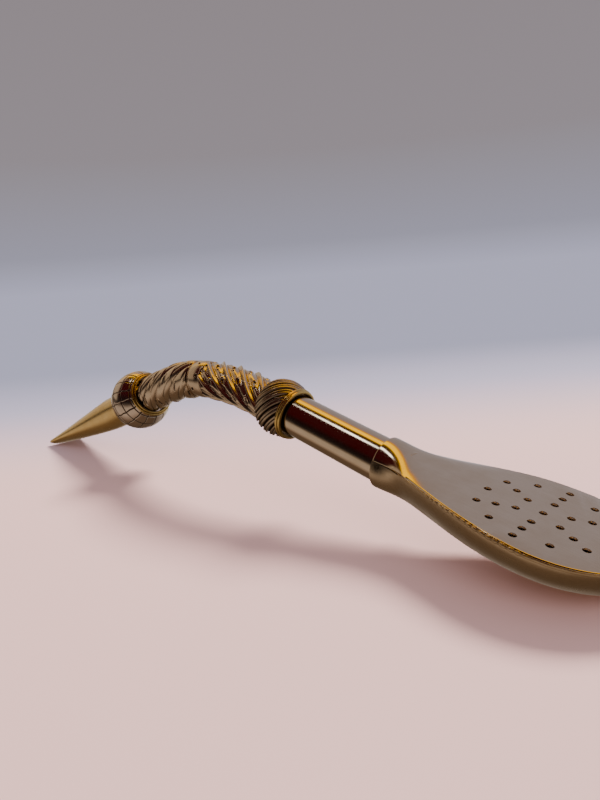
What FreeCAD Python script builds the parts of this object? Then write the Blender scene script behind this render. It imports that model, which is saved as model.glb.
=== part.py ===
"""Mate straw with a spoon filter: a bent metal drinking tube whose lower end is a
closed, perforated spoon.  Millimetres, +Z up, resting on z = 0, with the bend in the
plane y = 0 and the mouthpiece towards -X.

Every tube piece is placed by its distance along one path that starts at the spoon's
neck and runs up the shaft, round the bend and down the mouthpiece.
"""
import FreeCAD, Part
import math
import os

os.makedirs("parts", exist_ok=True)
Vec = FreeCAD.Vector

# ---- driving dimensions: tubes -------------------------------------------------
shaft_od = 8.0
shaft_wall = 0.45
solder_gap = 0.05            # radial gap of every soldered tube joint
inner_tube_wall = 0.5
mouth_wall = 0.7             # at the root
mouth_bore_gap = 0.05        # radial gap round the inner tube at the mouthpiece root
mouth_length = 43.5
lip_width = 10.4
lip_height = 2.4
lip_wall = 0.6
press_from = 0.2             # share of its length where the flattening starts
press_power = 1.25
bore_overrun = 0.5           # how far a cutting shape passes the piece it hollows

# ---- driving dimensions: path ---------------------------------------------------
shaft_slope = 16.7           # degrees below horizontal towards the spoon
mouth_slope = 18.6           # degrees below horizontal towards the mouthpiece
shaft_length = 21.6          # neck to rope ring
ring_width = 7.1
lower_lead = 4.3             # straight run between the rope ring and the bend
bend_radius = 55.5
upper_lead = 7.1             # straight run between the bend and the ball
tube_in_spoon = 5.0
tube_in_ball = 3.0

# ---- driving dimensions: rope ring, ball, twist ---------------------------------
ring_height = 1.7            # middle of the barrel, above the shaft
ring_end_height = 0.8
ring_lobes = 14
ring_groove = 0.4
ring_twist = -85.0           # degrees of rope twist over the ring's width
ring_rim_width = 1.2
ring_rim_height = 1.15
rim_recess = 0.4             # dark step between a rim and what passes through it
ring_barrel_power = 0.7      # below 1 the ring is fuller at its ends
ring_rim_round = 0.3         # edge rounding of the ring's rim
ring_rim_groove = 0.25       # depth of the groove between its two ridges
shaft_stops_short = 1.0      # shaft end to the rope ring's far end
ball_od = 14.5
ball_wall = 0.7
ball_mouth_clear = 0.9       # twist ribs to the rim of the ball's open mouth
ball_rim_width = 1.0
ball_rim_overhang = 0.3
collar_width = 0.8
collar_height = 0.5
collar_groove = 0.2
collar_ridge = 0.1           # the second ridge is this much lower
ball_rim_round = 0.15
ball_rim_groove = 0.1
twist_wall = 0.1             # least thickness of the sleeves, in their flutes
twist_rib_height = 0.5
twist_ribs = 6
twist_pitch = 32.0
twist_into_ball = 2.0
band_width = 4.6
band_height = 0.45           # crown above the sleeves' flutes
band_clear = 0.05            # extra gap inside the band
band_shoulder = 0.1          # the crown falls this much at its shoulders

# ---- driving dimensions: spoon --------------------------------------------------
spoon_length = 42.5
spoon_width = 24.2
widest_at = 29.2
sheet = 0.6
flare_power = 0.88
plate_slope = 13.8           # degrees below horizontal
plate_rise = 2.65            # underside of the flat plate, above the tube's axis at the neck
neck_seam = 1.5              # seam above the tube's axis at the neck
seam_level_from = 0.0        # where the seam starts to rise to the flat plate
seam_level_to = 24.5
plate_flat_from = 25.5
dome_length = 8.0
belly_drop = 6.3             # back shell below the tube's axis
belly_from = 22.0            # where the belly starts to rise to the tip
wall_squareness = 1.3        # 1 is an ellipse, less is squarer, more is a keel
nose_power = 0.35            # 0.5 is an ellipse, less is blunter
nose_gap = 0.25              # length left off the lofted nose
belly_flat = 0.10            # worn flat under the belly
hole_diameter = 1.15
star_centre = 27.4
star_radii = (3.8, 6.6, 9.3)
star_between = 8.8
star_arms = 6
star_turn = 30.0
seam_thick = 0.45
seam_from = 6.0
seam_to = 41.0
seam_clear = 0.03
seam_laps = 0.1              # the bead starts this far below the seam
seam_tops = 0.2              # and leans on the edge this much higher than it is thick

# ---- modelling steps ---------------------------------------------------------------
hull_steps = 10
nose_steps = 8
section_steps = 16
neck_steps = 12
lobe_points = 8
oval_points = 24
press_stations = 16
twist_stations = 16
ring_stations = 8
seam_stations = 16
outline_points = 6
nose_rings = 3

# ---- derived --------------------------------------------------------------------
shaft_bore_r = shaft_od / 2 - shaft_wall
inner_r = shaft_bore_r - solder_gap
mouth_bore_r = inner_r + mouth_bore_gap
mouth_od = 2 * (mouth_bore_r + mouth_wall)
ring_od = shaft_od + 2 * ring_height
ring_end_od = shaft_od + 2 * ring_end_height
ring_rim_od = shaft_od + 2 * ring_rim_height
twist_core_od = 2 * (inner_r + solder_gap + twist_wall)
band_od = twist_core_od + 2 * band_height
ball_mouth_r = twist_core_od / 2 + twist_rib_height + ball_mouth_clear
ball_mouth_at = math.sqrt((ball_od / 2) ** 2 - ball_mouth_r ** 2)
arc_angle = math.radians(shaft_slope + mouth_slope)
ring_start = shaft_length
ring_end = shaft_length + ring_width
bend_start = ring_end + lower_lead
bend_end = bend_start + bend_radius * arc_angle
ball_mouth = bend_end + upper_lead
ball_centre = ball_mouth + ball_mouth_at
root_reach = math.sqrt((ball_od / 2) ** 2 - (mouth_od / 2) ** 2)
mouth_root = ball_centre + root_reach
band_middle = (bend_start + bend_end) / 2
socket_r = shaft_od / 2 + sheet
big = 4 * ball_od


def path_frame(s):
    """Point at distance s from the neck, and the path's slope there in radians."""
    rise = math.radians(shaft_slope)
    start = Vec(-bend_start * math.cos(rise), 0, bend_start * math.sin(rise))
    if s <= bend_start:
        return Vec(-s * math.cos(rise), 0, s * math.sin(rise)), rise
    centre = start - Vec(math.sin(rise), 0, math.cos(rise)) * bend_radius
    slope = rise - min(s - bend_start, bend_end - bend_start) / bend_radius
    point = centre + Vec(math.sin(slope), 0, math.cos(slope)) * bend_radius
    past = max(0.0, s - bend_end)
    return point + Vec(-math.cos(slope), 0, math.sin(slope)) * past, slope


def at_path(shape, s):
    """Move a shape built along +X so that its origin is on the path and +X runs along it."""
    point, slope = path_frame(s)
    turn = FreeCAD.Rotation(Vec(0, 1, 0), math.degrees(slope))
    flip = FreeCAD.Rotation(Vec(0, 0, 1), 180)
    moved = shape.copy()
    moved.Placement = FreeCAD.Placement(point, turn.multiply(flip))
    return moved


def ring_point(s, radius, angle):
    """Point at a radius and angle round the path; angle 0 is the outside of the bend."""
    point, slope = path_frame(s)
    outward = Vec(math.sin(slope), 0, math.cos(slope))
    return point + outward * (radius * math.cos(angle)) + Vec(0, radius * math.sin(angle), 0)


def path_rod(first, last, radius):
    """Round rod that follows the path."""
    knots = [first]
    for knot in (bend_start, bend_end):
        if first < knot < last:
            knots.append(knot)
    knots.append(last)
    edges = []
    for begin, end in zip(knots, knots[1:]):
        a = path_frame(begin)[0]
        b = path_frame(end)[0]
        middle = (begin + end) / 2
        if bend_start <= middle <= bend_end:
            edges.append(Part.Arc(a, path_frame(middle)[0], b).toShape())
        else:
            edges.append(Part.LineSegment(a, b).toShape())
    point, slope = path_frame(first)
    along = Vec(-math.cos(slope), 0, math.sin(slope))
    circle = Part.Wire(Part.Circle(point, along, radius).toShape())
    return Part.Wire(edges).makePipeShell([circle], True, False)


def closed_spline(points):
    curve = Part.BSplineCurve()
    curve.interpolate(Points=points, PeriodicFlag=True)
    return Part.Wire(curve.toShape())


def open_spline(points):
    curve = Part.BSplineCurve()
    curve.interpolate(Points=points)
    return curve.toShape()


def turned(profile):
    """Solid of revolution about +X from (x, radius) corners."""
    points = [Vec(x, 0, radius) for x, radius in profile]
    face = Part.Face(Part.makePolygon(points + points[:1]))
    return face.revolve(Vec(0, 0, 0), Vec(1, 0, 0), 360)


def skinned(rows):
    """Closed solid on rings of control points, one ring for each station, capped flat."""
    degree = 3
    spans = len(rows) - degree
    sides = len(rows[0])
    surface = Part.BSplineSurface()
    surface.buildFromPolesMultsKnots(rows, [degree + 1] + [1] * (spans - 1) + [degree + 1],
                                     [1] * (sides + 1), list(range(spans + 1)),
                                     list(range(sides + 1)), False, True, degree, degree)
    side = surface.toShape()
    rings = [edge for edge in side.Edges if edge.isClosed()]
    caps = [Part.Face(Part.Wire(edge)) for edge in rings]
    shell = Part.makeShell([side] + caps)
    shell.sewShape()
    return outward(Part.Solid(shell))


def outward(solid):
    """The same solid with its faces turned outwards."""
    if solid.Volume < 0:
        solid.reverse()
    return solid


def lobed_body(first, last, radius_at, lobes, lobe_height, twist, stations):
    """Twisted rope-like body: lobed sections that turn as they follow the path."""
    count = lobes * lobe_points
    rows = []
    for i in range(stations + 1):
        share = i / stations
        s = first + (last - first) * share
        turn = math.radians(twist) * share
        ring = []
        for k in range(count):
            angle = 2 * math.pi * k / count
            lobe = (0.5 + 0.5 * math.cos(lobes * angle)) * lobe_height
            ring.append(ring_point(s, radius_at(share) - lobe_height + lobe, angle + turn))
        rows.append(ring)
    return skinned(rows)


# ---- tube pieces ----------------------------------------------------------------
def oval_ring(x, half_width, half_height):
    """Ring of control points whose smooth curve is an oval of the given half sizes."""
    count = oval_points
    swell = 3 / (2 + math.cos(2 * math.pi / count))
    angles = [2 * math.pi * k / count for k in range(count)]
    return [Vec(x, half_width * swell * math.cos(a), half_height * swell * math.sin(a)) for a in angles]


def pressed_tube(root_r, tip_width, tip_height, overrun):
    """Round rod that is pressed flat towards +X; overrun makes it longer at both ends."""
    rings = []
    stations = press_stations
    start = -tube_in_ball - overrun
    end = mouth_length + overrun
    for k in range(stations + 1):
        x = start + (end - start) * k / stations
        flat = max(0.0, min(1.0, (x / mouth_length - press_from) / (1 - press_from))) ** press_power
        width = root_r + (tip_width / 2 - root_r) * flat
        height = root_r + (tip_height / 2 - root_r) * flat
        rings.append(oval_ring(x, width, height))
    return skinned(rings)


def mouthpiece():
    """Round where it laps into the ball, pressed flat to a slot at the lips."""
    body = pressed_tube(mouth_od / 2, lip_width, lip_height, 0.0)
    hollow = pressed_tube(mouth_bore_r, lip_width - 2 * lip_wall, lip_height - 2 * lip_wall,
                          bore_overrun)
    return at_path(body.cut(hollow), mouth_root)


def mouthpiece_collar():
    low = mouth_od / 2 + solder_gap
    high = mouth_od / 2 + collar_height
    second = high - collar_ridge
    profile = [(0, low), (0, high), (0.4 * collar_width, high),
               (0.5 * collar_width, high - collar_groove), (0.6 * collar_width, second),
               (collar_width, second - ball_rim_round), (collar_width, low)]
    return at_path(turned(profile), mouth_root + solder_gap)


def inner_tube():
    first = ring_start + ring_rim_width
    last = mouth_root + tube_in_ball
    outer = path_rod(first, last, inner_r)
    return outer.cut(path_rod(first, last, inner_r - inner_tube_wall))


def shaft_tube():
    first = -tube_in_spoon
    last = ring_end - shaft_stops_short
    outer = path_rod(first, last, shaft_od / 2)
    return outer.cut(path_rod(first, last, shaft_bore_r))


# ---- ball -----------------------------------------------------------------------
def ball_shell():
    ball = Part.makeSphere(ball_od / 2).cut(Part.makeSphere(ball_od / 2 - ball_wall))
    mouth = Part.makeBox(big, big, big, Vec(-ball_mouth_at - big, -big / 2, -big / 2))
    root = Part.makeCylinder(mouth_od / 2 + solder_gap, big, Vec(0, 0, 0), Vec(1, 0, 0))
    return ball.cut(mouth).cut(root)


def ball_half(sign):
    box = Part.makeBox(big, big, big, Vec(0 if sign > 0 else -big, -big / 2, -big / 2))
    return at_path(ball_shell().common(box), ball_centre)


def ball_rim_ring():
    """Two ridges round the ball's open mouth, standing on its cut edge."""
    outer = math.sqrt((ball_od / 2) ** 2 - ball_mouth_at ** 2) + ball_rim_overhang
    inner = twist_core_od / 2 + twist_rib_height + rim_recess
    middle = (outer + inner) / 2
    w = ball_rim_width
    profile = [(0, inner), (-0.8 * w, inner), (-w, inner + ball_rim_round),
               (-w, middle - ball_rim_groove), (-0.65 * w, middle),
               (-0.75 * w, outer - ball_rim_round), (-0.4 * w, outer), (0, outer - ball_rim_groove)]
    return at_path(turned(profile), ball_centre - ball_mouth_at)


# ---- decorated bend -------------------------------------------------------------
def twist_sleeve(first, last, hand):
    turns = (last - first) / twist_pitch
    crest = twist_core_od / 2 + twist_rib_height
    body = lobed_body(first, last, lambda share: crest, twist_ribs, twist_rib_height,
                      hand * 360.0 * turns, twist_stations)
    bore = path_rod(first - bore_overrun, last + bore_overrun, inner_r + solder_gap)
    return body.cut(bore)


def twist_mid_band():
    """Smooth crowned band where the two twists meet."""
    half = band_width / 2
    low = inner_r + solder_gap + band_clear
    edge = twist_core_od / 2
    top = band_od / 2
    shoulder = top - band_shoulder
    profile = [(-half, low), (-half, edge), (-half / 2, shoulder), (0, top), (half / 2, shoulder),
               (half, edge), (half, low)]
    return at_path(turned(profile), band_middle)


def rope_ring():
    first = ring_start + ring_rim_width
    bore = path_rod(first - bore_overrun, ring_end + bore_overrun, shaft_od / 2 + solder_gap)

    def barrel(share):
        swell = math.sin(math.pi * share) ** ring_barrel_power
        return ring_end_od / 2 + (ring_od - ring_end_od) / 2 * swell

    body = lobed_body(first, ring_end, barrel, ring_lobes, ring_groove, ring_twist,
                      ring_stations)
    return body.cut(bore)


def rope_ring_rim():
    low = shaft_od / 2 + rim_recess
    high = ring_rim_od / 2
    w = ring_rim_width
    profile = [(0, low), (0, high - ring_rim_round), (0.2 * w, high - ring_rim_round / 3),
               (0.45 * w, high - ring_rim_groove), (0.6 * w, high), (w, high), (w, low)]
    return at_path(turned(profile), ring_start)


# ---- spoon ----------------------------------------------------------------------
def blend(x):
    x = max(0.0, min(1.0, x))
    return x * x * (3 - 2 * x)


def half_width(u):
    neck = math.sqrt(socket_r ** 2 - neck_seam ** 2)
    widest = spoon_width / 2
    if u <= widest_at:
        flare = math.sin(math.pi / 2 * (max(u, 0.0) / widest_at) ** flare_power) ** 2
        return neck + (widest - neck) * flare
    share = (u - widest_at) / (spoon_length - widest_at)
    return widest * math.sqrt(max(0.0, 1 - share * share))


def seam_height(u):
    rise = blend((u - seam_level_from) / (seam_level_to - seam_level_from))
    return neck_seam + (plate_rise - neck_seam) * rise


def belly_depth(u):
    """Back shell's depth below the seam."""
    drop = socket_r + (belly_drop - socket_r) * blend(u / belly_from)
    if u <= belly_from:
        return seam_height(u) + drop
    share = (u - belly_from) / (spoon_length - belly_from)
    return (plate_rise + belly_drop) * max(0.0, 1 - share * share) ** nose_power


def mixed(first, second, share):
    return [a + (b - a) * share for a, b in zip(first, second)]


def socket_arc(radius, upper, count):
    """Part of the round socket above or below the seam, at the neck."""
    seam_angle = math.asin(neck_seam / socket_r)
    sweep = math.pi - 2 * seam_angle
    if not upper:
        sweep = -math.pi - 2 * seam_angle
    angles = [seam_angle + sweep * k / count for k in range(count + 1)]
    return [Vec(0, radius * math.cos(a), radius * math.sin(a)) for a in angles]


def place_spoon(shape):
    moved = shape.copy()
    moved.Placement = FreeCAD.Placement(Vec(0, 0, 0), FreeCAD.Rotation(Vec(0, 1, 0), plate_slope))
    return moved


def tube_in_local():
    """The shaft's outside, in the spoon's own axes, to cut its socket."""
    lean = math.radians(shaft_slope - plate_slope)
    along = Vec(math.cos(lean), 0, -math.sin(lean))
    radius = shaft_od / 2 + solder_gap
    return Part.makeCylinder(radius, big + tube_in_spoon, along * -big, along)


def plate_profile(u, lift, count):
    """Flat in the middle, with edges that droop to the seam."""
    wide = half_width(u)
    points = []
    for k in range(count + 1):
        side = math.cos(math.pi * k / count)
        droop = (plate_rise - seam_height(u)) * side ** 4
        points.append(Vec(0, wide * side, plate_rise - droop + lift))
    return points


def plate_section(u):
    """From half a pipe over the tube to a flat strip."""
    count = section_steps
    share = blend(u / dome_length)
    outer = mixed(socket_arc(socket_r, True, count), plate_profile(u, sheet, count), share)
    inner = mixed(socket_arc(socket_r - sheet, True, count), plate_profile(u, 0.0, count), share)
    along = Vec(u, 0, 0)
    return closed_section([p + along for p in outer], [p + along for p in inner])


def closed_section(outer, inner):
    edges = [open_spline(outer), Part.LineSegment(outer[-1], inner[-1]).toShape(),
             open_spline(inner[::-1]), Part.LineSegment(inner[0], outer[0]).toShape()]
    return Part.Wire(edges)


def outline_face(start):
    """Outline of the flat part of the plate, round the tip."""
    middle = (start + widest_at) / 2
    side = [Vec(u, half_width(u), 0) for u in (start, middle, widest_at)]
    for k in range(1, outline_points + 1):
        angle = math.pi / 2 * k / outline_points
        reach = spoon_length - widest_at
        side.append(Vec(widest_at + reach * math.sin(angle), spoon_width / 2 * math.cos(angle), 0))
    other = [Vec(p.x, -p.y, 0) for p in side[-2::-1]]
    outline = open_spline(side + other)
    closing = Part.LineSegment(other[-1], side[0]).toShape()
    return Part.Face(Part.Wire([outline, closing]))


def filter_holes():
    """A centre hole, arms of holes in a regular star, and one hole between each two arms."""
    spots = [(0.0, 0.0)]
    for arm in range(star_arms):
        angle = math.radians(star_turn + 360.0 * arm / star_arms)
        spots += [(radius, angle) for radius in star_radii]
        spots.append((star_between, angle + math.pi / star_arms))
    drills = []
    for radius, angle in spots:
        spot = Vec(star_centre + radius * math.cos(angle), radius * math.sin(angle), plate_rise - sheet)
        drills.append(Part.makeCylinder(hole_diameter / 2, 3 * sheet, spot))
    return Part.makeCompound(drills)


def spoon_filter_plate():
    stations = [plate_flat_from * k / neck_steps for k in range(neck_steps + 1)]
    neck = Part.makeLoft([plate_section(u) for u in stations], True, False)
    flat = outline_face(plate_flat_from).extrude(Vec(0, 0, sheet))
    flat.translate(Vec(0, 0, plate_rise))
    plate = outward(neck).fuse(flat).removeSplitter()
    return plate.cut(filter_holes()).cut(tube_in_local())


def hull_curve(u, inset):
    """Underside of the boat: round at the neck, squarer towards the belly."""
    count = section_steps
    wide = half_width(u) - inset
    deep = belly_depth(u) - inset
    boat = []
    for k in range(count + 1):
        angle = math.pi * k / count
        side = math.copysign(abs(math.cos(angle)) ** wall_squareness, math.cos(angle))
        fall = max(0.0, math.sin(angle)) ** wall_squareness
        boat.append(Vec(0, wide * side, seam_height(u) - deep * fall))
    pipe = socket_arc(socket_r - inset, False, count)
    along = Vec(u, 0, 0)
    return [p + along for p in mixed(pipe, boat, blend(u / dome_length))]


def wall_section(u):
    return closed_section(hull_curve(u, 0.0), hull_curve(u, sheet))


def nose_section(u):
    curve = hull_curve(u, 0.0)
    return Part.Wire([open_spline(curve), Part.LineSegment(curve[-1], curve[0]).toShape()])


def spoon_stations(last):
    """Stations that crowd towards the rounded tip."""
    straight = [belly_from * k / hull_steps for k in range(hull_steps + 1)]
    reach = last - belly_from
    nose = [belly_from + reach * math.sin(math.pi / 2 * k / nose_steps) for k in range(1, nose_steps + 1)]
    return straight + nose


def spoon_back_shell():
    end = spoon_length - nose_gap
    nose_from = end - 2 * sheet
    wall = Part.makeLoft([wall_section(u) for u in spoon_stations(nose_from)], True, False)
    rings = [nose_section(nose_from + (end - nose_from) * k / nose_rings)
             for k in range(nose_rings + 1)]
    nose = Part.makeLoft(rings, True, False)
    return outward(wall).fuse(outward(nose)).removeSplitter().cut(tube_in_local())


def seam_solder():
    """A bead of solder down each long edge of the spoon, outside the seam."""
    beads = []
    for sign in (1, -1):
        wires = []
        for k in range(seam_stations + 1):
            u = seam_from + (seam_to - seam_from) * k / seam_stations
            near = half_width(u) + seam_clear
            low = seam_height(u) - seam_laps
            corners = [Vec(u, sign * near, low), Vec(u, sign * (near + seam_thick), low + seam_laps),
                       Vec(u, sign * (near + seam_thick), low + seam_thick),
                       Vec(u, sign * near, low + seam_thick + seam_tops)]
            wires.append(Part.makePolygon(corners + corners[:1]))
        beads.append(Part.makeLoft(wires, True, False))
    return Part.makeCompound(beads)


# ---- assembly -------------------------------------------------------------------
def build():
    return {
        "mouthpiece": mouthpiece(),
        "mouthpiece_collar": mouthpiece_collar(),
        "ball_rear_half": ball_half(1),
        "ball_front_half": ball_half(-1),
        "ball_rim_ring": ball_rim_ring(),
        "inner_tube": inner_tube(),
        "twist_sleeve_lower": twist_sleeve(ring_end, band_middle - band_width / 2, 1),
        "twist_sleeve_upper": twist_sleeve(band_middle + band_width / 2,
                                           ball_mouth + twist_into_ball, -1),
        "twist_mid_band": twist_mid_band(),
        "rope_ring": rope_ring(),
        "rope_ring_rim": rope_ring_rim(),
        "shaft_tube": shaft_tube(),
        "spoon_filter_plate": place_spoon(spoon_filter_plate()),
        "spoon_back_shell": place_spoon(spoon_back_shell()),
        "seam_solder": place_spoon(seam_solder()),
    }


def tilted(shape, degrees):
    moved = shape.copy()
    moved.rotate(Vec(0, 0, 0), Vec(0, 1, 0), degrees)
    return moved


def lowest(shape):
    return shape.optimalBoundingBox(False, False).ZMin


def settle(nodes):
    """Tilt the object until its lips and its belly stand on one floor, then centre it."""
    def gap(degrees):
        lips = lowest(tilted(nodes["mouthpiece"], degrees))
        return lips - (lowest(tilted(nodes["spoon_back_shell"], degrees)) + belly_flat)

    low, high = -12.0, 12.0
    for _ in range(24):
        middle = (low + high) / 2
        if gap(middle) > 0:
            high = middle
        else:
            low = middle
    tilt = (low + high) / 2
    placed = {name: tilted(shape, tilt) for name, shape in nodes.items()}
    box = Part.makeCompound(list(placed.values())).optimalBoundingBox(False, False)
    shift = Vec(-(box.XMin + box.XMax) / 2, 0, -lowest(placed["mouthpiece"]))
    for shape in placed.values():
        shape.translate(shift)
    under = Part.makeBox(8 * big, 4 * big, big, Vec(-4 * big, -2 * big, -big))
    placed["spoon_back_shell"] = placed["spoon_back_shell"].cut(under)
    print("neck at", round(shift.x, 3), round(shift.z, 3), "tilt", round(tilt, 3))
    return placed


for name, shape in settle(build()).items():
    box = shape.optimalBoundingBox(False, False)
    print(name, "valid", shape.isValid(), "solids", len(shape.Solids), "volume", round(shape.Volume, 1),
          [round(v, 2) for v in (box.XMin, box.XMax, box.YMin, box.YMax, box.ZMin, box.ZMax)])
    shape.exportStep("parts/" + name + ".step")
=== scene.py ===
import math

import bmesh
import bpy
from mathutils import Matrix, Vector


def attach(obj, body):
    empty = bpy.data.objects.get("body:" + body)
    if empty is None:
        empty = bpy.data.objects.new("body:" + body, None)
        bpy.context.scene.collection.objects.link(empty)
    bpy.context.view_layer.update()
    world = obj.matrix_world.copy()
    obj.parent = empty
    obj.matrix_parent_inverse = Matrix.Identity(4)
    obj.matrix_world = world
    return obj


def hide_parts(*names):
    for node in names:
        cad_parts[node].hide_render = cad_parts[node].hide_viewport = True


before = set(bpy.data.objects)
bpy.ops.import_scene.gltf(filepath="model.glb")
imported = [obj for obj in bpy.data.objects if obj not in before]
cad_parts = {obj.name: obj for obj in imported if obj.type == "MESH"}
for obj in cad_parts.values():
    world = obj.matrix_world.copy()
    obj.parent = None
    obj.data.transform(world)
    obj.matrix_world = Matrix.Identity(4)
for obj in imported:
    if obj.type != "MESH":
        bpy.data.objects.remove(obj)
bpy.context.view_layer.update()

# ---- sizes, in millimetres, as in the CAD model ---------------------------------
MM = 0.001
NECK = Vector((40.966, 0.0, 12.725))     # where the path starts, at the spoon's neck
TILT = -0.39                             # degrees the model is tilted to stand on the floor
LOWER_SLOPE = math.radians(16.7 + TILT)
UPPER_SLOPE = math.radians(18.6 - TILT)
PLATE_SLOPE = math.radians(13.8 + TILT)
RING_START, RING_END = 21.6, 28.7       # rim and rope barrel of the ring, together
RIM_LENGTH = 1.2
BEND_START, BEND_RADIUS = 33.0, 55.5
BEND_END = BEND_START + BEND_RADIUS * (LOWER_SLOPE + UPPER_SLOPE)
BAND_MIDDLE = (BEND_START + BEND_END) / 2
BAND_HALF = 2.3
BALL_MOUTH = BEND_END + 7.1
SLEEVE_INTO_BALL = 2.0
BALL_OPEN = 5.2                          # ball centre to its open mouth
BALL_CENTRE = BALL_MOUTH + BALL_OPEN
BALL_R, BALL_WALL = 7.25, 0.7
MOUTH_R, MOUTH_LENGTH = 4.25, 43.5
LIP_HALF_WIDTH, LIP_HALF_HEIGHT = 5.2, 1.2
MOUTH_ROOT = BALL_CENTRE + math.sqrt(BALL_R ** 2 - MOUTH_R ** 2)
SHAFT_R, SHAFT_BORE = 4.0, 3.55
TUBE_R = 3.5
GAP = 0.05                               # radial, in every soldered tube joint
SHEET = 0.6
SPOON_LENGTH, SPOON_HALF, WIDEST_AT = 42.5, 12.1, 29.2
PLATE_RISE, NECK_SEAM, BELLY_DROP = 2.65, 1.5, 6.3
FLAT_FROM, BELLY_FROM, DOME_LENGTH = 25.5, 22.0, 8.0
SEAM_LEVEL_FROM = 24.5                   # the seam has risen to the plate here
FLARE_POWER, KEEL, NOSE_POWER = 0.88, 1.3, 0.35
HOLE_R, HOLE_MIDDLE = 0.575, 27.4        # the pattern's middle, from the neck
HOLE_ARMS, HOLE_BETWEEN = (3.8, 6.6, 9.3), 8.8
SOCKET_R = SHAFT_R + SHEET
ALONG = Vector((math.cos(PLATE_SLOPE), 0, -math.sin(PLATE_SLOPE)))
UP = Vector((math.sin(PLATE_SLOPE), 0, math.cos(PLATE_SLOPE)))


# ---- shapes along the path --------------------------------------------------------
def path(s):
    """Centre of the tube at distance s from the neck, and the slope there."""
    start = NECK + Vector((-math.cos(LOWER_SLOPE), 0, math.sin(LOWER_SLOPE))) * min(s, BEND_START)
    if s <= BEND_START:
        return start, LOWER_SLOPE
    slope = LOWER_SLOPE - min(s - BEND_START, BEND_END - BEND_START) / BEND_RADIUS
    centre = start - Vector((math.sin(LOWER_SLOPE), 0, math.cos(LOWER_SLOPE))) * BEND_RADIUS
    point = centre + Vector((math.sin(slope), 0, math.cos(slope))) * BEND_RADIUS
    past = max(0.0, s - BEND_END)
    return point + Vector((-math.cos(slope), 0, math.sin(slope))) * past, slope


def ring_point(s, up, side):
    """World point, in metres, offset from the path towards the outside of the bend and along Y."""
    point, slope = path(s)
    return (point + Vector((math.sin(slope) * up, side, math.cos(slope) * up))) * MM


def smooth(x):
    x = max(0.0, min(1.0, x))
    return x * x * (3 - 2 * x)


def bump(x, centre, half):
    """Smooth hill of height 1 round a centre, on a scale that repeats every 1."""
    d = abs((x - centre + 0.5) % 1.0 - 0.5) / half
    return 0.0 if d >= 1 else (0.5 + 0.5 * math.cos(math.pi * d))


class Body:
    """Points and faces of one piece, with the grain coordinates and recess of each point."""

    def __init__(self):
        self.points = []
        self.faces = []
        self.grain = []
        self.recess = []

    def add(self, point, grain, recess=0.0):
        self.points.append(point)
        self.grain.append(grain)
        self.recess.append(recess)
        return len(self.points) - 1

    def strip(self, a, b, closed=True):
        """Quads between two loops of point numbers."""
        count = len(a)
        for k in range(count if closed else count - 1):
            m = (k + 1) % count
            self.faces.append((a[k], a[m], b[m], b[k]))


def ringed(rings, sides, relief=None):
    """Closed body of rings round the path; a ring is (s, radius, carved)."""
    body = Body()
    loops = []
    for s, radius, carved in rings:
        loop = []
        for k in range(sides):
            angle = 2 * math.pi * k / sides
            r, recess = radius, 0.0
            if carved and relief:
                rise, recess = relief(s, angle)
                r = radius + rise
            up, side = r * math.cos(angle), r * math.sin(angle)
            loop.append(body.add(ring_point(s, up, side), (s, up, side), recess))
        loops.append(loop)
    for i, loop in enumerate(loops):
        body.strip(loop, loops[(i + 1) % len(loops)])
    return body


def stations(first, last, count):
    return [first + (last - first) * k / count for k in range(count + 1)]


def lined(outer, bore, first, last, count):
    """Rings of an outside surface, then back through a plain bore."""
    return outer + [(s, bore, False) for s in stations(last, first, count)]


# ---- materials ----------------------------------------------------------------------
class Nodes:
    def __init__(self, tree):
        self.tree = tree
        tree.nodes.clear()

    def new(self, kind, settings=None, **inputs):
        node = self.tree.nodes.new(kind)
        for name, value in (settings or {}).items():
            setattr(node, name, value)
        for name, value in inputs.items():
            key = int(name[1:]) if name[0] == "i" and name[1:].isdigit() else name.replace("_", " ")
            self.put(node.inputs[key], value)
        return node

    def put(self, socket, value):
        if isinstance(value, bpy.types.NodeSocket):
            self.tree.links.new(value, socket)
        else:
            socket.default_value = value

    def maths(self, operation, a, b=0.0):
        return self.new("ShaderNodeMath", {"operation": operation}, i0=a, i1=b).outputs[0]

    def mix(self, share, a, b):
        node = self.new("ShaderNodeMix", {"data_type": "RGBA"}, i0=share, i6=a, i7=b)
        return node.outputs[2]

    def ramp(self, share, stops, mode="LINEAR"):
        node = self.new("ShaderNodeValToRGB", i0=share)
        node.color_ramp.interpolation = mode
        elements = node.color_ramp.elements
        while len(elements) < len(stops):
            elements.new(0.5)
        for element, (at, colour) in zip(elements, stops):
            element.position = at
            element.color = colour
        return node.outputs[0]

    def noise(self, vector, scale, detail=3.0, rough=0.5):
        return self.new("ShaderNodeTexNoise", Vector=vector, Scale=scale, Detail=detail,
                        Roughness=rough).outputs[0]

    def scaled(self, vector, factors):
        return self.new("ShaderNodeVectorMath", {"operation": "MULTIPLY"}, i0=vector,
                        i1=factors).outputs[0]


def rgb(r, g, b):
    return (r, g, b, 1.0)


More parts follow.
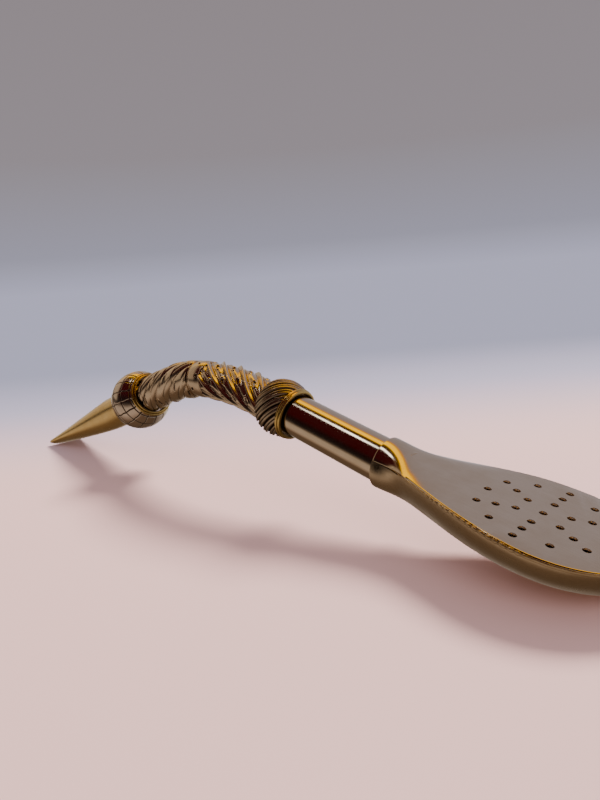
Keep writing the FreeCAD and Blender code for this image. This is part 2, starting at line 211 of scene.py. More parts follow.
def metal(name, colour, tarnish, rough, drawn, patina=None, depth=1.0, grain="attribute"):
    """Metal with cloudy tarnish, drawing lines along the grain, fine scratches and dark recesses."""
    material = bpy.data.materials.new(name)
    material.use_nodes = True
    n = Nodes(material.node_tree)
    if grain == "attribute":
        place = n.new("ShaderNodeAttribute", {"attribute_name": "grain"}).outputs["Vector"]
    else:
        place = n.scaled(n.new("ShaderNodeTexCoord").outputs["Object"], (1000, 1000, 1000))
    cloud = n.noise(place, 0.22, 4.0, 0.6)
    lines = n.noise(n.scaled(place, (0.12, 6.0, 6.0)), 1.0, 2.0, 0.7)
    scratch = n.noise(n.scaled(place, (0.7, 9.0, 2.0)), 1.3, 4.0, 0.75)
    specks = n.noise(place, 3.2, 2.0, 0.5)
    shade = n.mix(n.ramp(cloud, [(0.35, rgb(0, 0, 0)), (0.75, rgb(1, 1, 1))]), rgb(*colour), rgb(*tarnish))
    streak = n.ramp(lines, [(0.38, rgb(0.9, 0.9, 0.9)), (0.6, rgb(1, 1, 1))])
    shade = n.new("ShaderNodeMix", {"data_type": "RGBA", "blend_type": "MULTIPLY"}, i0=drawn,
                  i6=shade, i7=streak).outputs[2]
    recess = None
    if patina:
        recess = n.new("ShaderNodeAttribute", {"attribute_name": "recess"}).outputs["Fac"]
        uneven = n.maths("MULTIPLY", recess, n.maths("ADD", 0.65, n.maths("MULTIPLY", specks, 0.7)))
        recess = n.maths("MINIMUM", uneven, 1.0)
        shade = n.mix(recess, shade, rgb(*patina))
    level = n.maths("ADD", rough[0], n.maths("MULTIPLY", n.maths("MULTIPLY", cloud, scratch),
                                             4 * (rough[1] - rough[0])))
    if recess is not None:
        level = n.maths("ADD", level, n.maths("MULTIPLY", recess, 0.25))
    height = n.maths("ADD", n.maths("MULTIPLY", lines, 0.5 * drawn),
                     n.maths("ADD", n.maths("MULTIPLY", scratch, 0.35), n.maths("MULTIPLY", cloud, 1.2)))
    relief = n.new("ShaderNodeBump", Strength=0.12 * depth, Distance=0.00003, Height=height)
    shader = n.new("ShaderNodeBsdfPrincipled", Base_Color=shade, Roughness=level,
                   Normal=relief.outputs[0])
    shader.inputs["Metallic"].default_value = 1.0
    n.new("ShaderNodeOutputMaterial", Surface=shader.outputs[0])
    return material


FINISHES = {
    "brass": metal("brass", (0.86, 0.65, 0.30), (0.80, 0.56, 0.22), (0.12, 0.22), 0.7),
    "bronze": metal("bronze", (0.80, 0.60, 0.24), (0.66, 0.44, 0.14), (0.10, 0.22), 0.3,
                    (0.05, 0.022, 0.008)),
    "nickel_silver": metal("nickel_silver", (0.68, 0.58, 0.47), (0.62, 0.51, 0.39), (0.05, 0.13), 0.45),
    "engraved_silver": metal("engraved_silver", (0.70, 0.61, 0.55), (0.62, 0.51, 0.44), (0.06, 0.16), 0.1,
                             (0.035, 0.018, 0.012)),
    "aged_silver": metal("aged_silver", (0.70, 0.59, 0.47), (0.55, 0.43, 0.32), (0.10, 0.22), 0.15,
                         (0.03, 0.012, 0.007)),
    "satin_silver": metal("satin_silver", (0.66, 0.55, 0.41), (0.55, 0.43, 0.29), (0.18, 0.32), 0.9,
                          (0.03, 0.022, 0.016), depth=1.6),
    "solder": metal("solder", (0.70, 0.56, 0.38), (0.56, 0.43, 0.27), (0.32, 0.50), 0.1,
                    (0.12, 0.07, 0.035), depth=2.0),
}


def piece(name, slot, body, *nodes, sharp=40):
    """Makes the piece, smooth but for its sharp edges, gives it its finish, fixes it to the root body and
    hides the CAD parts it replaces.
    """
    mesh = bpy.data.meshes.new(name)
    mesh.from_pydata(body.points, [], body.faces)
    grain = mesh.attributes.new("grain", "FLOAT_VECTOR", "POINT")
    grain.data.foreach_set("vector", [c for g in body.grain for c in g])
    recess = mesh.attributes.new("recess", "FLOAT", "POINT")
    recess.data.foreach_set("value", body.recess)
    work = bmesh.new()
    work.from_mesh(mesh)
    bmesh.ops.remove_doubles(work, verts=work.verts, dist=2e-7)
    bmesh.ops.recalc_face_normals(work, faces=work.faces)
    work.to_mesh(mesh)
    work.free()
    return show(name, slot, mesh, nodes, sharp)


def show(name, slot, mesh, nodes, sharp=40):
    mesh.shade_smooth()
    mesh.set_sharp_from_angle(angle=math.radians(sharp))
    mesh.materials.clear()
    mesh.materials.append(FINISHES[slot])
    made = bpy.data.objects.new(name, mesh)
    bpy.context.scene.collection.objects.link(made)
    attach(made, "root")
    if nodes:
        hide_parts(*nodes)
    return made


# ---- mouthpiece ------------------------------------------------------------------------
def mouthpiece():
    """Round at the ball, pressed flat to a slot with rounded lips."""
    body = Body()
    sides = 128

    def ring(x, inset):
        flat = max(0.0, min(1.0, (x / MOUTH_LENGTH - 0.2) / 0.8)) ** 1.25
        wide = MOUTH_R + (LIP_HALF_WIDTH - MOUTH_R) * flat - inset
        high = MOUTH_R + (LIP_HALF_HEIGHT - MOUTH_R) * flat - inset
        loop = []
        for k in range(sides):
            angle = 2 * math.pi * k / sides
            up, side = high * math.cos(angle), wide * math.sin(angle)
            loop.append(body.add(ring_point(MOUTH_ROOT + x, up, side), (x, up, side)))
        return loop

    wall = 0.65
    tip = MOUTH_LENGTH
    rounding = [(tip - wall / 2 + wall / 2 * math.sin(math.pi * k / 8),
                 wall / 2 - wall / 2 * math.cos(math.pi * k / 8)) for k in range(1, 8)]
    rows = [(x, 0.0) for x in stations(-3.0, tip - wall / 2, 90)] + rounding
    rows += [(x, wall) for x in stations(tip - wall / 2, -3.0, 40)]
    loops = [ring(x, inset) for x, inset in rows]
    for i, loop in enumerate(loops):
        body.strip(loop, loops[(i + 1) % len(loops)])
    return piece("mouthpiece_tube", "brass", body, "mouthpiece")


def turned(s, profile, sides=160, relief=None):
    """Body turned about the path's direction at s from (x, radius, recess) corners."""
    body = Body()
    centre, slope = path(s)
    along = Vector((-math.cos(slope), 0, math.sin(slope)))
    out = Vector((math.sin(slope), 0, math.cos(slope)))
    loops = []
    for x, radius, recess in profile:
        loop = []
        for k in range(sides):
            angle = 2 * math.pi * k / sides
            up, side = radius * math.cos(angle), radius * math.sin(angle)
            point = centre + along * x + out * up + Vector((0, side, 0))
            loop.append(body.add(point * MM, (s + x, up, side), recess))
        loops.append(loop)
    for i, loop in enumerate(loops):
        body.strip(loop, loops[(i + 1) % len(loops)])
    return body


def ridges(spans, low, floor):
    """Profile of rounded ridges side by side; a span is (start, end, top)."""
    profile = [(spans[0][0], low, 0.6)]
    for start, end, top in spans:
        for k in range(11):
            swell = math.sin(math.pi * k / 10) ** 0.6
            profile.append((start + (end - start) * k / 10, floor + (top - floor) * swell, 1 - swell))
    profile.append((spans[-1][1], low, 0.6))
    return profile


def double_rim(bore, first, last, beads):
    """Profile of a ring with two round beads; a bead is (start, end, low, top)."""
    profile = [(first, bore, 0.8), (last, bore, 0.8)]
    for start, end, low, top in beads:
        for k in range(11):
            turn = math.pi * k / 10
            profile.append((start + (end - start) * (0.5 - 0.5 * math.cos(turn)),
                            low + (top - low) * math.sin(turn) ** 0.7, 0.8 * (1 - math.sin(turn))))
    return profile


def collar():
    profile = ridges([(0.05, 0.45, 4.75), (0.45, 0.85, 4.66)], MOUTH_R + GAP, 4.45)
    return piece("mouthpiece_root_collar", "nickel_silver", turned(MOUTH_ROOT, profile), "mouthpiece_collar")


# ---- ball ------------------------------------------------------------------------------
MERIDIANS = 16
PARALLELS = (-4.6, -2.4, 0.6, 3.2, 5.1)     # along the path from the ball's centre
LINE_HALF, LINE_DEPTH = 0.17, 0.10


def engraving(x, angle):
    """Depth share of the engraved lines at a place on the ball."""
    r = math.sqrt(max(0.0, BALL_R ** 2 - x * x))
    step = 2 * math.pi / MERIDIANS
    wander = 0.01 * math.sin(3 * x + 5 * angle)
    off = abs((angle + wander + step / 2) % step - step / 2) * r
    near = min(off, min(abs(x - p) * BALL_R / r for p in PARALLELS))
    return max(0.0, 1 - (near / LINE_HALF) ** 2)


def ball_half(name, node, first, last):
    """Half of the hollow ball, from x = first to x = last along the path."""
    body = Body()
    sides = 560
    centre, slope = path(BALL_CENTRE)
    along = Vector((-math.cos(slope), 0, math.sin(slope)))
    out = Vector((math.sin(slope), 0, math.cos(slope)))

    def ring(x, radius, engraved):
        loop = []
        turn = math.sqrt(max(0.0, radius ** 2 - x * x))
        for k in range(sides):
            angle = 2 * math.pi * k / sides
            line = engraving(x, angle) if engraved else 0.0
            fall = 1 - LINE_DEPTH * line / radius
            up, side = turn * math.cos(angle), turn * math.sin(angle)
            point = centre + (along * x + out * up + Vector((0, side, 0))) * fall
            loop.append(body.add(point * MM, (x, up, side), line))
        return loop

    begin, end = math.asin(first / BALL_R), math.asin(last / BALL_R)
    inner = BALL_R - BALL_WALL
    rows = [ring(BALL_R * math.sin(a), BALL_R, True) for a in stations(begin, end, 92)]
    back, front = math.asin(last / inner), math.asin(first / inner)
    rows += [ring(inner * math.sin(a), inner, False) for a in stations(back, front, 16)]
    for i, loop in enumerate(rows):
        body.strip(loop, rows[(i + 1) % len(rows)])
    return piece(name, "engraved_silver", body, node)


def ball():
    root = math.sqrt(BALL_R ** 2 - (MOUTH_R + GAP) ** 2)
    ball_half("ball_rear", "ball_rear_half", 0.01, root)
    ball_half("ball_front", "ball_front_half", -BALL_OPEN, -0.01)
    rim = double_rim(4.5, 0.0, -1.0, ((-1.0, -0.42, 4.62, 4.98), (-0.62, 0.0, 5.02, 5.45)))
    piece("ball_mouth_ring", "bronze", turned(BALL_MOUTH, rim), "ball_rim_ring")


# ---- twisted bend ------------------------------------------------------------------------
RIBS = 6
LEAD = 32.0
SLEEVE_R = 3.58                          # in the flutes
WORN_RISE = 0.515                        # of the ribs, at the top of the bend


def helix(s, angle, start):
    """Place across the ribs, 0 to 1 from one rib to the next."""
    return ((angle - 2 * math.pi * (s - start) / LEAD) * RIBS / (2 * math.pi)) % 1.0


PIT_R, PIT_RIM_R, PIT_DEPTH = 0.48, 0.95, 0.28
RIB_PITCH = 4.2                          # across the ribs, round the sleeve


def pits(s, q, centre, spacing, shift):
    """Punched dots in rows: returns the rise and the darkness."""
    along = ((s + shift) % spacing - spacing / 2)
    across = ((q - centre + 0.5) % 1.0 - 0.5) * RIB_PITCH
    d = math.hypot(along, across)
    if d > PIT_RIM_R:
        return 0.0, 0.0
    if d < PIT_R:
        return -PIT_DEPTH * smooth((0.54 - d) / 0.12), 1.0
    rim = math.sin(math.pi * (d - PIT_R) / (PIT_RIM_R - PIT_R))
    return 0.15 * rim, 0.5 * max(0.0, 1 - (d - PIT_R) / 0.1)


def worn(s, rise):
    """The relief is lowest at the top of the bend."""
    return min(rise, WORN_RISE + (s - BAND_MIDDLE) ** 2 / (2 * BEND_RADIUS))


def lower_relief(s, angle):
    """Fat bright ribs, each with a thin one beside it, and wide flutes with punched dots."""
    q = helix(s, angle, RING_END)
    rib = bump(q, 0.22, 0.17) ** 0.7
    thin = bump(q, 0.47, 0.06)
    rise = 0.72 * rib + 0.22 * thin + 0.20 * bump(q, 0.74, 0.26)
    dot, dark = pits(s + 0.6 * q, q, 0.74, 3.9, 0.4)
    edge = bump(q, 0.035, 0.04) + bump(q, 0.395, 0.03)
    return worn(s, rise + dot), min(1.0, max(dark, 0.8 * edge, 0.35 * bump(q, 0.52, 0.03)))


LEAF = 6.4
CURLS = 5


def upper_relief(s, angle):
    """Curled leaves in rows that wind the other way, each with a vein line and a dot at its end."""
    turn = (angle % (2 * math.pi) / (2 * math.pi) + (s - BAND_MIDDLE) / LEAD) * CURLS
    row = math.floor(turn) % CURLS
    q = turn % 1.0
    t = ((s - BAND_MIDDLE) / LEAF + 0.4 * row + 0.45 * (q - 0.5)) % 1.0
    side = max(0.0, math.sin(math.pi * q)) ** 0.45
    tip = smooth(t / 0.16) * (0.70 + 0.30 * t)
    leaf = side * tip
    vein = bump(q, 0.30, 0.05) * smooth((t - 0.15) / 0.2)
    rise = 0.12 + 0.70 * leaf - 0.14 * vein
    along, across = (t - 0.70) * LEAF, (q - 0.62) * 5.0
    d = math.hypot(along, across)
    pit = smooth((0.58 - d) / 0.14)
    rim = max(0.0, 1 - abs(d - 0.72) / 0.2)
    recess = max(pit, 0.95 * (1 - smooth(leaf / 0.30)), 0.5 * vein)
    return worn(s, rise - 0.30 * pit + 0.10 * rim), min(1.0, recess)


def sleeve(name, node, first, last, relief):
    outer = [(s, SLEEVE_R, True) for s in stations(first, last, 190)]
    rings = lined(outer, TUBE_R + GAP, first, last, 14)
    return piece(name, "aged_silver", ringed(rings, 300, relief), node, sharp=70)


def mid_band():
    """Smooth crowned band with rolled edges and a few punched dots."""
    low = 3.66

    def relief(s, angle):
        x = (s - BAND_MIDDLE) / BAND_HALF
        rolled = 0.10 * bump(x / 2 + 0.5, 0.06, 0.05) + 0.10 * bump(x / 2 + 0.5, 0.94, 0.05)
        crown = 0.42 * (1 - abs(x) ** 3)
        spot = math.hypot(s - BAND_MIDDLE - 1.2 * math.sin(2.1 * angle),
                          ((angle * 4 / math.pi) % 1.0 - 0.5) * math.pi)
        pit = smooth((0.42 - spot) / 0.12)
        return crown + rolled - 0.2 * pit, max(pit, 0.8 * smooth((abs(x) - 0.9) / 0.08))

    first, last = BAND_MIDDLE - BAND_HALF, BAND_MIDDLE + BAND_HALF
    outer = [(s, low, True) for s in stations(first, last, 60)]
    rings = lined(outer, TUBE_R + 0.1, first, last, 6)
    return piece("twist_band", "aged_silver", ringed(rings, 300, relief), "twist_mid_band", sharp=70)


ROPE_STRANDS, ROPE_TURN = 14, math.radians(85.0)
ROPE_END_R, ROPE_R = 4.8, 5.7            # at the barrel's ends and middle


def rope():
    """Barrel of rope strands, each with a fine line down it, and its rim."""
    first, last = RING_START + RIM_LENGTH, RING_END

    def relief(s, angle):
        share = (s - first) / (last - first)
        q = ((angle + ROPE_TURN * share) * ROPE_STRANDS / (2 * math.pi)) % 1.0
        barrel = (ROPE_R - ROPE_END_R) * math.sin(math.pi * max(0.0, min(1.0, share))) ** 0.7
        groove = bump(q, 0.0, 0.22)
        line = bump(q, 0.52, 0.09)
        rise = barrel - 0.45 * groove - 0.16 * line
        return rise, min(1.0, 0.32 + 0.9 * groove + 0.85 * line)

    outer = [(s, ROPE_END_R, True) for s in stations(first, last, 90)]
    rings = lined(outer, SHAFT_R + GAP, first, last, 4)
    piece("rope_ring_barrel", "aged_silver", ringed(rings, 420, relief), "rope_ring", sharp=70)
    rim = double_rim(4.42, RIM_LENGTH, 0.0, ((0.0, 0.62, 4.5, 5.0), (0.56, RIM_LENGTH, 4.7, 5.15)))
    piece("rope_ring_mouth_rim", "bronze", turned(RING_START, rim), "rope_ring_rim")


def shaft():
    first, last = -5.0, RING_END - 1.0
    outer = [(s, SHAFT_R, False) for s in stations(first, last, 24)]
    rings = lined(outer, SHAFT_BORE, first, last, 4)
    return piece("shaft", "nickel_silver", ringed(rings, 192), "shaft_tube")


# ---- spoon ---------------------------------------------------------------------------------
def spoon_point(u, v, h):
    """World point, in metres, from the spoon's own axes."""
    point = (NECK + ALONG * u + UP * h + Vector((0, v, 0))) * MM
    point.z = max(point.z, 0.0)
    return point


def half_width(u):
    neck = math.sqrt(SOCKET_R ** 2 - NECK_SEAM ** 2)
    if u <= WIDEST_AT:
        flare = math.sin(math.pi / 2 * (max(u, 0.0) / WIDEST_AT) ** FLARE_POWER) ** 2
        return neck + (SPOON_HALF - neck) * flare
    share = (u - WIDEST_AT) / (SPOON_LENGTH - WIDEST_AT)
    return SPOON_HALF * math.sqrt(max(0.0, 1 - share * share))


def seam_height(u):
    return NECK_SEAM + (PLATE_RISE - NECK_SEAM) * smooth(u / SEAM_LEVEL_FROM)


def belly_depth(u):
    if u <= BELLY_FROM:
        return seam_height(u) + SOCKET_R + (BELLY_DROP - SOCKET_R) * smooth(u / BELLY_FROM)
    share = (u - BELLY_FROM) / (SPOON_LENGTH - BELLY_FROM)
    return (seam_height(u) + BELLY_DROP) * max(0.0, 1 - share * share) ** NOSE_POWER


def plate_row(u, lift, radius, sides):
    """Points across the plate, from half a pipe at the neck to flat."""
    share = smooth(u / DOME_LENGTH)
    lean = math.asin(NECK_SEAM / SOCKET_R)
    wide = half_width(u)
    row = []
    for side in sides:
        turn = math.acos(side)
        angle = lean + (math.pi - 2 * lean) * turn / math.pi
        droop = (PLATE_RISE - seam_height(u)) * side ** 4
        v = radius * math.cos(angle) * (1 - share) + wide * side * share
        h = radius * math.sin(angle) * (1 - share) + (PLATE_RISE - droop + lift) * share
        row.append((u, v, h))
    return row


def apply(made):
    """The mesh with its modifiers applied."""
    depsgraph = bpy.context.evaluated_depsgraph_get()
    mesh = bpy.data.meshes.new_from_object(made.evaluated_get(depsgraph), depsgraph=depsgraph)
    bpy.data.objects.remove(made)
    return mesh


def drills():
    """Cutters of the filter holes, slightly flared where the punch went in."""
    spots = [(0.0, 0.0)]
    for arm in range(6):
        angle = math.radians(30.0 + 60.0 * arm)
        spots += [(radius, angle) for radius in HOLE_ARMS]
        spots.append((HOLE_BETWEEN, angle + math.pi / 6))
    body = Body()
    profile = [(-0.5, HOLE_R), (0.56, HOLE_R), (SHEET, 0.60), (0.9, 0.78)]
    count = 36
    for radius, angle in spots:
        u, v = HOLE_MIDDLE + radius * math.cos(angle), radius * math.sin(angle)
        loops = []
        for h, r in profile:
            ring = [(u + r * math.cos(2 * math.pi * k / count), v + r * math.sin(2 * math.pi * k / count),
                     PLATE_RISE + h) for k in range(count)]
            loops.append([body.add(spoon_point(*p), p) for p in ring])
        for a, b in zip(loops, loops[1:]):
            body.strip(a, b)
        body.faces.append(tuple(loops[0][::-1]))
        body.faces.append(tuple(loops[-1]))
    return body


def raw_object(name, body):
    mesh = bpy.data.meshes.new(name)
    mesh.from_pydata(body.points, [], body.faces)
    work = bmesh.new()
    work.from_mesh(mesh)
    bmesh.ops.recalc_face_normals(work, faces=work.faces)
    work.to_mesh(mesh)
    work.free()
    made = bpy.data.objects.new(name, mesh)
    bpy.context.scene.collection.objects.link(made)
    return made


def plate():
    """Half a pipe over the tube that opens out into the flat, pierced filter."""
    body = Body()
    count = 56
    sides = [1 - 2 * k / count for k in range(count + 1)]

    def row(points):
        return [body.add(spoon_point(*p), p) for p in points]

    tops, lows = [], []
    for u in stations(0.0, FLAT_FROM, 84):
        tops.append(row(plate_row(u, SHEET, SOCKET_R, sides)))
        lows.append(row(plate_row(u, 0.0, SHAFT_R + GAP, sides)))
    for rows, turn in ((tops, 1), (lows, -1)):
        for a, b in zip(rows, rows[1:]):
            body.strip(a[::turn], b[::turn], closed=False)
    for end in (0, -1):
        left = [r[end] for r in tops]
        right = [r[end] for r in lows]
        body.strip(left, right, closed=False)
    body.strip(tops[0], lows[0], closed=False)
    outline = [(u, half_width(u)) for u in stations(FLAT_FROM + 0.5, WIDEST_AT, 7)]
    outline += [(WIDEST_AT + (SPOON_LENGTH - WIDEST_AT) * math.sin(a), SPOON_HALF * math.cos(a))
                for a in stations(math.pi / 2 / 44, math.pi / 2, 43)]
    outline += [(u, -v) for u, v in outline[-2::-1]]
    top = row([(u, v, PLATE_RISE + SHEET) for u, v in outline])
    low = row([(u, v, PLATE_RISE) for u, v in outline])
    body.faces.append(tuple(tops[-1][::-1] + top))
    body.faces.append(tuple(lows[-1][::-1] + low))
    body.strip([tops[-1][0]] + top + [tops[-1][-1]], [lows[-1][0]] + low + [lows[-1][-1]], closed=False)
    made = raw_object("filter_plate_blank", body)
    cutter = raw_object("filter_plate_drills", drills())
    bevel = made.modifiers.new("edge", "BEVEL")
    bevel.width = 0.2 * MM
    bevel.segments = 3
    bevel.limit_method = "ANGLE"
    bevel.angle_limit = math.radians(60)
    pierce = made.modifiers.new("holes", "BOOLEAN")
    pierce.operation = "DIFFERENCE"
    pierce.solver = "EXACT"
    pierce.object = cutter
    mesh = apply(made)
    bpy.data.objects.remove(cutter)
    grain = mesh.attributes.new("grain", "FLOAT_VECTOR", "POINT")
    for vertex, cell in zip(mesh.vertices, grain.data):
        offset = vertex.co / MM - NECK
        cell.vector = (offset.dot(ALONG), offset.y, offset.dot(UP))
    mesh.name = "filter_plate"
    return show("filter_plate", "nickel_silver", mesh, ["spoon_filter_plate"], sharp=35)


def hull_row(u, inset, count):
    """Points round the underside at u: round at the neck, squarer towards the belly."""
    share = smooth(u / DOME_LENGTH)
    lean = math.asin(NECK_SEAM / SOCKET_R)
    wide = half_width(u) - inset
    deep = belly_depth(u) - inset
    radius = SOCKET_R - inset
    row = []
    for k in range(count + 1):
        turn = math.pi * k / count
        side = math.copysign(abs(math.cos(turn)) ** KEEL, math.cos(turn))
        fall = max(0.0, math.sin(turn)) ** KEEL
        angle = lean - (math.pi + 2 * lean) * k / count
        v = radius * math.cos(angle) * (1 - share) + wide * side * share
        h = radius * math.sin(angle) * (1 - share) + (seam_height(u) - deep * fall) * share
        row.append((u, v, h))
    return row


def scorch(u, v, h):
    """Dark stain where the shell was soldered to the socket."""
    below = (seam_height(u) - h) / 1.3
    return 0.9 * math.exp(-((u - 1.3) / 1.5) ** 2 - (below - 0.5) ** 2) * smooth((abs(v) - 2.5) / 1.2)


def back_shell():
    body = Body()
    count = 72
    loops = []
    for u in stations(0.0, BELLY_FROM, 60):
        loops.append(hull_row(u, 0.0, count) + hull_row(u, SHEET, count)[::-1])
    for k in range(1, 61):
        share = math.sin(math.pi / 2 * k / 60)
        u = BELLY_FROM + (SPOON_LENGTH - BELLY_FROM) * share
        outer = hull_row(u, 0.0, count)
        inner = [(along - SHEET * share ** 2, v * (1 - SHEET / SPOON_HALF),
                  seam_height(u) + (h - seam_height(u)) * (1 - SHEET / (PLATE_RISE + BELLY_DROP)))
                 for along, v, h in outer]
        loops.append(outer + inner[::-1])
    marks = []
    for loop in loops:
        marks.append([body.add(spoon_point(*p), p, scorch(*p)) for p in loop])
    for a, b in zip(marks, marks[1:]):
        body.strip(a, b)
    size = len(marks[0])
    for k in range(count):
        body.faces.append((marks[0][k], marks[0][k + 1], marks[0][size - 2 - k], marks[0][size - 1 - k]))
    return piece("back_shell", "satin_silver", body, "spoon_back_shell", sharp=50)


def seam():
    """Two beads of hard solder, stitched with small crescents where they were tacked."""
    body = Body()
    first, last = 6.0, 41.0
    for sign in (1, -1):
        loops = []
        for u in stations(first, last, 420):
            fade = smooth((u - first) / 3.0) * smooth((last - u) / 2.0)
            tack = smooth((u - 12.0) / 1.5) * smooth((31.0 - u) / 1.5)
            pulse = 0.5 + 0.5 * math.cos(2 * math.pi * (u / 1.1 + 0.08 * math.sin(1.7 * u)))
            thick = (0.17 + 0.12 * tack * pulse ** 0.6 + 0.02 * math.sin(2.3 * u)) * (0.25 + 0.75 * fade)
            tall = (0.28 + 0.08 * tack * pulse) * (0.4 + 0.6 * fade)
            near = half_width(u) - 0.06
            middle = seam_height(u) + 0.15
            loop = []
            for k in range(12):
                turn = 2 * math.pi * k / 12
                out = max(-0.1, thick * math.cos(turn))
                p = (u, sign * (near + out), middle + tall * math.sin(turn))
                recess = tack * (1 - pulse) ** 3 * 0.35
                loop.append(body.add(spoon_point(*p), p, recess))
            loops.append(loop)
        for a, b in zip(loops, loops[1:]):
            body.strip(a, b)
        body.faces.append(tuple(loops[0][::-1]))
        body.faces.append(tuple(loops[-1]))
    return piece("seam_beads", "solder", body, "seam_solder", sharp=60)


# ---- the object --------------------------------------------------------------------------------
mouthpiece()
collar()
ball()
sleeve("twist_lower", "twist_sleeve_lower", RING_END, BAND_MIDDLE - BAND_HALF, lower_relief)
sleeve("twist_upper", "twist_sleeve_upper", BAND_MIDDLE + BAND_HALF, BALL_MOUTH + SLEEVE_INTO_BALL,
       upper_relief)
mid_band()
rope()
shaft()
plate()
back_shell()
seam()

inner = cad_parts["inner_tube"]
inner.data.materials.clear()
inner.data.materials.append(metal("inner_tube_silver", (0.70, 0.64, 0.57), (0.60, 0.52, 0.44), (0.12, 0.24),
                                  0.6, grain="object"))


# ---- stage, light and camera -------------------------------------------------------------------
HORIZON = (0.50, 0.49, 0.65)


def floor():
    """Large pale sheet, pink near the object, turning a darker lilac towards the far side as painted shade;
    far away it glows evenly in the horizon colour.
    """
    mesh = bpy.data.meshes.new("floor")
    work = bmesh.new()
    bmesh.ops.create_circle(work, cap_ends=True, segments=96, radius=4.0)
    work.to_mesh(mesh)
    work.free()
    made = bpy.data.objects.new("floor", mesh)
    bpy.context.scene.collection.objects.link(made)
    material = bpy.data.materials.new("floor")
    material.use_nodes = True
    n = Nodes(material.node_tree)
    place = n.new("ShaderNodeTexCoord").outputs["Object"]
    away = n.new("ShaderNodeVectorMath", {"operation": "LENGTH"}, i0=place).outputs["Value"]
    cloth = n.noise(place, 9.0, 3.0)
    back = n.new("ShaderNodeVectorMath", {"operation": "DOT_PRODUCT"}, i0=place,
                 i1=(-0.71, 0.70, 0.0)).outputs["Value"]
    # painted shade: the floor's pink turns to a darker lilac towards the far side
    near = n.mix(n.ramp(back, [(0.0, rgb(0, 0, 0)), (0.13, rgb(1, 1, 1))], "EASE"),
                 rgb(0.98, 0.60, 0.54), rgb(0.52, 0.46, 0.58))
    shade = n.new("ShaderNodeMix", {"data_type": "RGBA", "blend_type": "MULTIPLY"}, i0=0.10, i6=near,
                  i7=n.ramp(cloth, [(0.3, rgb(0.8, 0.8, 0.8)), (0.7, rgb(1, 1, 1))])).outputs[2]
    shader = n.new("ShaderNodeBsdfPrincipled", Base_Color=shade)
    shader.inputs["Roughness"].default_value = 0.9
    shader.inputs["Specular IOR Level"].default_value = 0.1
    glow = n.new("ShaderNodeEmission", Color=rgb(*HORIZON), Strength=1.0)
    far = n.maths("MAXIMUM", back, n.maths("SUBTRACT", away, 0.3))
    fade = n.new("ShaderNodeMapRange", {"interpolation_type": "SMOOTHSTEP"}, Value=far, i1=0.02, i2=0.24)
    both = n.new("ShaderNodeMixShader", i0=fade.outputs[0], i1=shader.outputs[0], i2=glow.outputs[0])
    n.new("ShaderNodeOutputMaterial", Surface=both.outputs[0])
    mesh.materials.append(material)
    made.visible_glossy = False


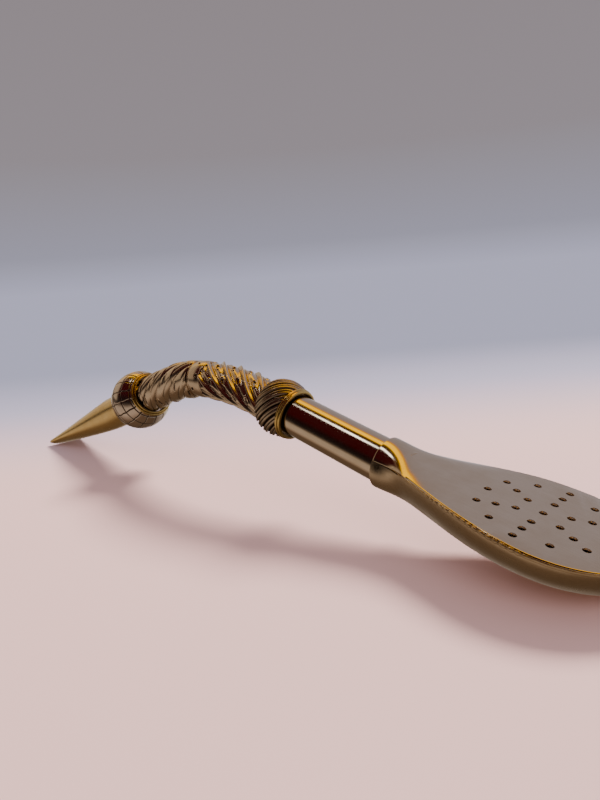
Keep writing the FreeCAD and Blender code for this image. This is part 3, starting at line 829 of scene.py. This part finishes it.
def sky():
    """Pale studio: a plain backdrop, soft fill, and warm and dark cards for the metal to reflect."""
    world = bpy.data.worlds.new("studio")
    bpy.context.scene.world = world
    world.use_nodes = True
    n = Nodes(world.node_tree)
    direction = n.new("ShaderNodeTexCoord").outputs["Generated"]
    axes = n.new("ShaderNodeSeparateXYZ", Vector=direction)
    x, y, z = axes.outputs
    turn = n.maths("DIVIDE", n.maths("ARCTAN2", z, y), math.pi)
    wobble = n.maths("MULTIPLY", n.maths("SUBTRACT", n.noise(direction, 1.6, 2.0), 0.5), 0.02)
    cards = n.ramp(n.maths("ADD", n.maths("MULTIPLY", turn, 0.5), n.maths("ADD", wobble, 0.5)), [
        (0.0, rgb(0.02, 0.014, 0.012)),
        (0.02, rgb(0.10, 0.07, 0.05)),
        (0.05, rgb(0.50, 0.40, 0.30)),
        (0.12, rgb(0.55, 0.42, 0.31)),
        (0.19, rgb(0.16, 0.10, 0.06)),
        (0.33, rgb(0.12, 0.08, 0.05)),
        (0.40, rgb(0.50, 0.42, 0.36)),
        (0.44, rgb(1.05, 0.98, 0.86)),
        (0.50, rgb(0.70, 0.68, 0.76)),
        (0.54, rgb(0.44, 0.40, 0.43)),
        (0.655, rgb(0.38, 0.33, 0.34)),
        (0.672, rgb(1.0, 0.42, 0.0)),
        (0.685, rgb(2.1, 1.15, 0.0)),
        (0.725, rgb(2.3, 1.28, 0.0)),
        (0.735, rgb(0.16, 0.07, 0.0)),
        (0.775, rgb(0.05, 0.02, 0.004)),
        (0.785, rgb(0.34, 0.20, 0.12)),
        (0.795, rgb(0.05, 0.003, 0.002)),
        (0.91, rgb(0.045, 0.0, 0.0)),
        (0.955, rgb(0.014, 0.003, 0.002)),
        (1.0, rgb(0.02, 0.014, 0.012)),
    ])
    left = n.new("ShaderNodeMapRange", {"interpolation_type": "SMOOTHSTEP"}, Value=x, i1=-0.66, i2=-0.82)
    above = n.new("ShaderNodeMapRange", {"interpolation_type": "SMOOTHSTEP"}, Value=z, i1=0.0, i2=0.08)
    window = n.maths("MULTIPLY", n.maths("MULTIPLY", left.outputs[0], above.outputs[0]), 0.85)
    cards = n.mix(window, cards, rgb(0.58, 0.46, 0.32))
    facing = n.new("ShaderNodeVectorMath", {"operation": "DOT_PRODUCT"}, i0=direction,
                   i1=(-0.30, -0.21, 0.93)).outputs["Value"]
    bulb = n.new("ShaderNodeMapRange", {"interpolation_type": "SMOOTHSTEP"}, Value=facing,
                 i1=0.9955, i2=0.9985)
    cards = n.mix(bulb.outputs[0], cards, rgb(5.0, 5.0, 4.8))
    reflected = n.new("ShaderNodeBackground", Color=cards, Strength=1.0)
    backdrop = n.ramp(z, [(0.0, rgb(*HORIZON)), (0.05, rgb(0.36, 0.35, 0.44)),
                          (0.18, rgb(0.31, 0.275, 0.30)), (0.5, rgb(0.29, 0.25, 0.265))])
    seen = n.new("ShaderNodeBackground", Color=backdrop, Strength=1.0)
    fill = n.new("ShaderNodeBackground", Color=rgb(0.78, 0.76, 0.86), Strength=0.55)
    path_of = n.new("ShaderNodeLightPath")
    soft = n.new("ShaderNodeMixShader", i0=path_of.outputs["Is Glossy Ray"], i1=fill.outputs[0],
                 i2=reflected.outputs[0])
    both = n.new("ShaderNodeMixShader", i0=path_of.outputs["Is Camera Ray"], i1=soft.outputs[0],
                 i2=seen.outputs[0])
    n.new("ShaderNodeOutputWorld", Surface=both.outputs[0])


def lamp(name, place, size, watts, colour):
    light = bpy.data.lights.new(name, "AREA")
    light.shape = "DISK"
    light.size = size
    light.energy = watts
    light.color = colour
    made = bpy.data.objects.new(name, light)
    made.location = place
    made.rotation_euler = (-Vector(place)).to_track_quat("-Z", "Y").to_euler()
    made.visible_glossy = False
    bpy.context.scene.collection.objects.link(made)


def camera():
    data = bpy.data.cameras.new("camera")
    data.lens = 28.8
    data.sensor_width = 36.0
    data.clip_start = 0.005
    made = bpy.data.objects.new("camera", data)
    bpy.context.scene.collection.objects.link(made)
    bpy.context.scene.camera = made
    yaw, pitch, roll = (math.radians(a) for a in (45.366, 10.966, -4.291))
    forward = Vector((-math.sin(yaw) * math.cos(pitch), math.cos(yaw) * math.cos(pitch), -math.sin(pitch)))
    level = Vector((math.cos(yaw), math.sin(yaw), 0))
    rise = level.cross(forward)
    right = level * math.cos(roll) + rise * math.sin(roll)
    up = rise * math.cos(roll) - level * math.sin(roll)
    turn = Matrix((right, up, -forward)).transposed().to_4x4()
    made.matrix_world = Matrix.Translation((0.105892, -0.083649, 0.044998)) @ turn


floor()
sky()
lamp("key", (-0.25, 0.55, 0.65), 0.30, 14.0, (1.0, 0.97, 0.95))
lamp("fill", (0.6, -0.5, 0.7), 0.8, 2.5, (1.0, 0.93, 0.92))
camera()
